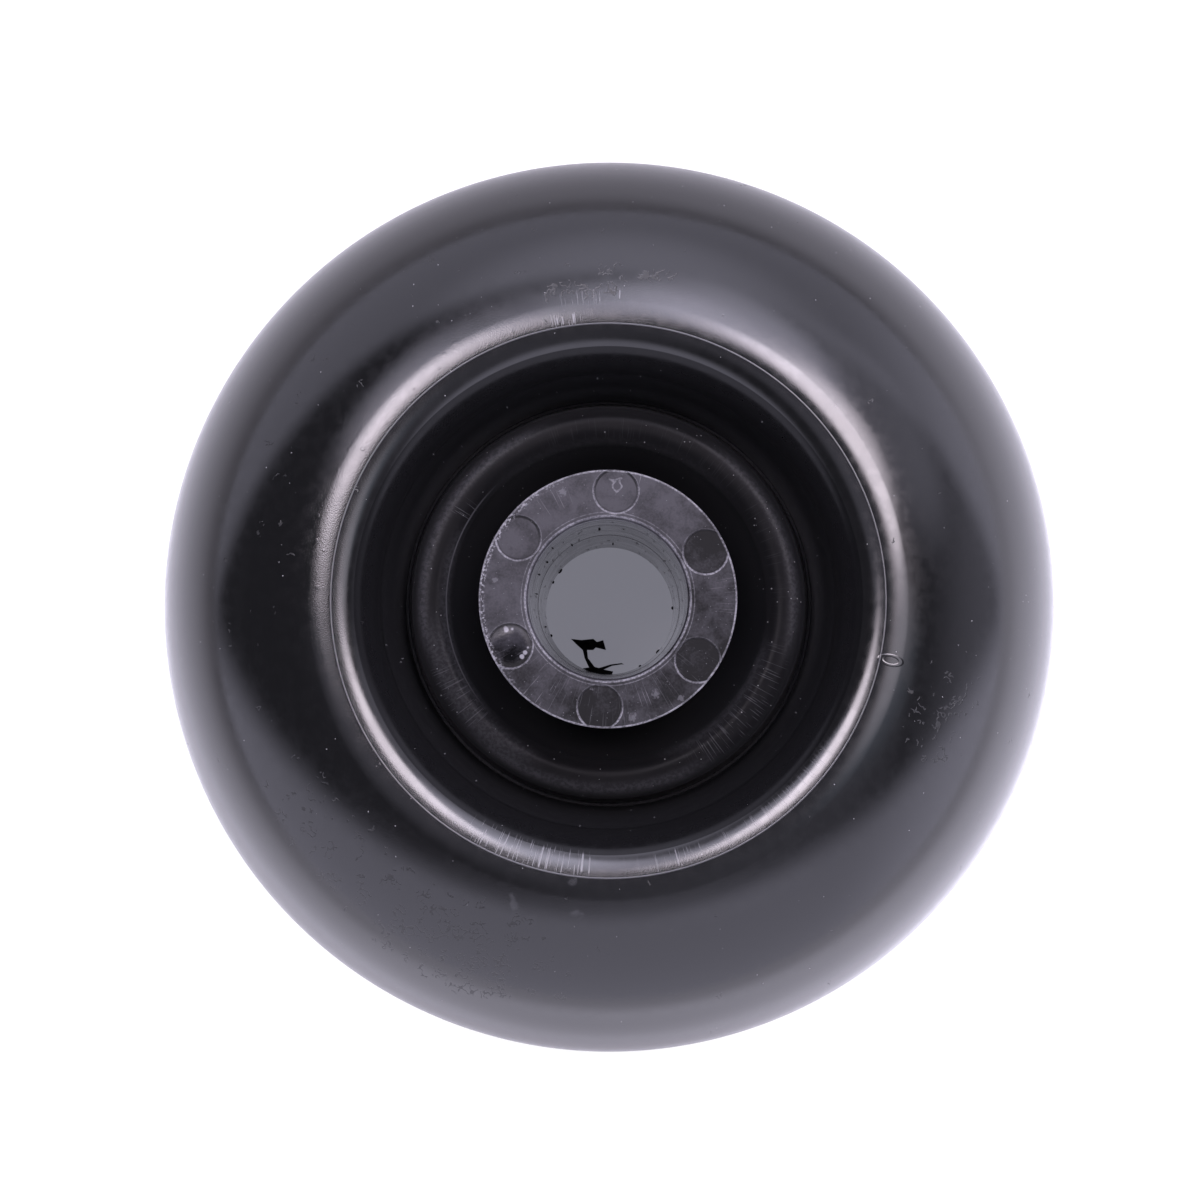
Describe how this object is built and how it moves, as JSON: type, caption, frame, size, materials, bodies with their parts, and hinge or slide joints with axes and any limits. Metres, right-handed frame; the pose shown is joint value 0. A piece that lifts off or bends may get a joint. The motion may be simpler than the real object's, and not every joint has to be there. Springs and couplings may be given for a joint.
{
  "type": "lawn mower wheel",
  "caption": "Solid black plastic deck wheel with a crowned tread, rounded lips, dished sides with a raised ring, and a plain bored hub that turns on an axle bolt or spacer tube.",
  "frame": {"origin": "centre of the lower hub end, on the wheel's axis, where the wheel stands", "axes": "+Z along the bore axis, towards the hub end with the ejector pin marks; +Y towards the pin mark at the top of the picture"},
  "size_m": [0.127, 0.127, 0.07],
  "materials": {
    "black_plastic": "glossy black moulded plastic with a satin hub end, fine scratches and dust"
  },
  "bodies": {
    "root": {"wheel": "black_plastic"}
  },
  "joints": []
}
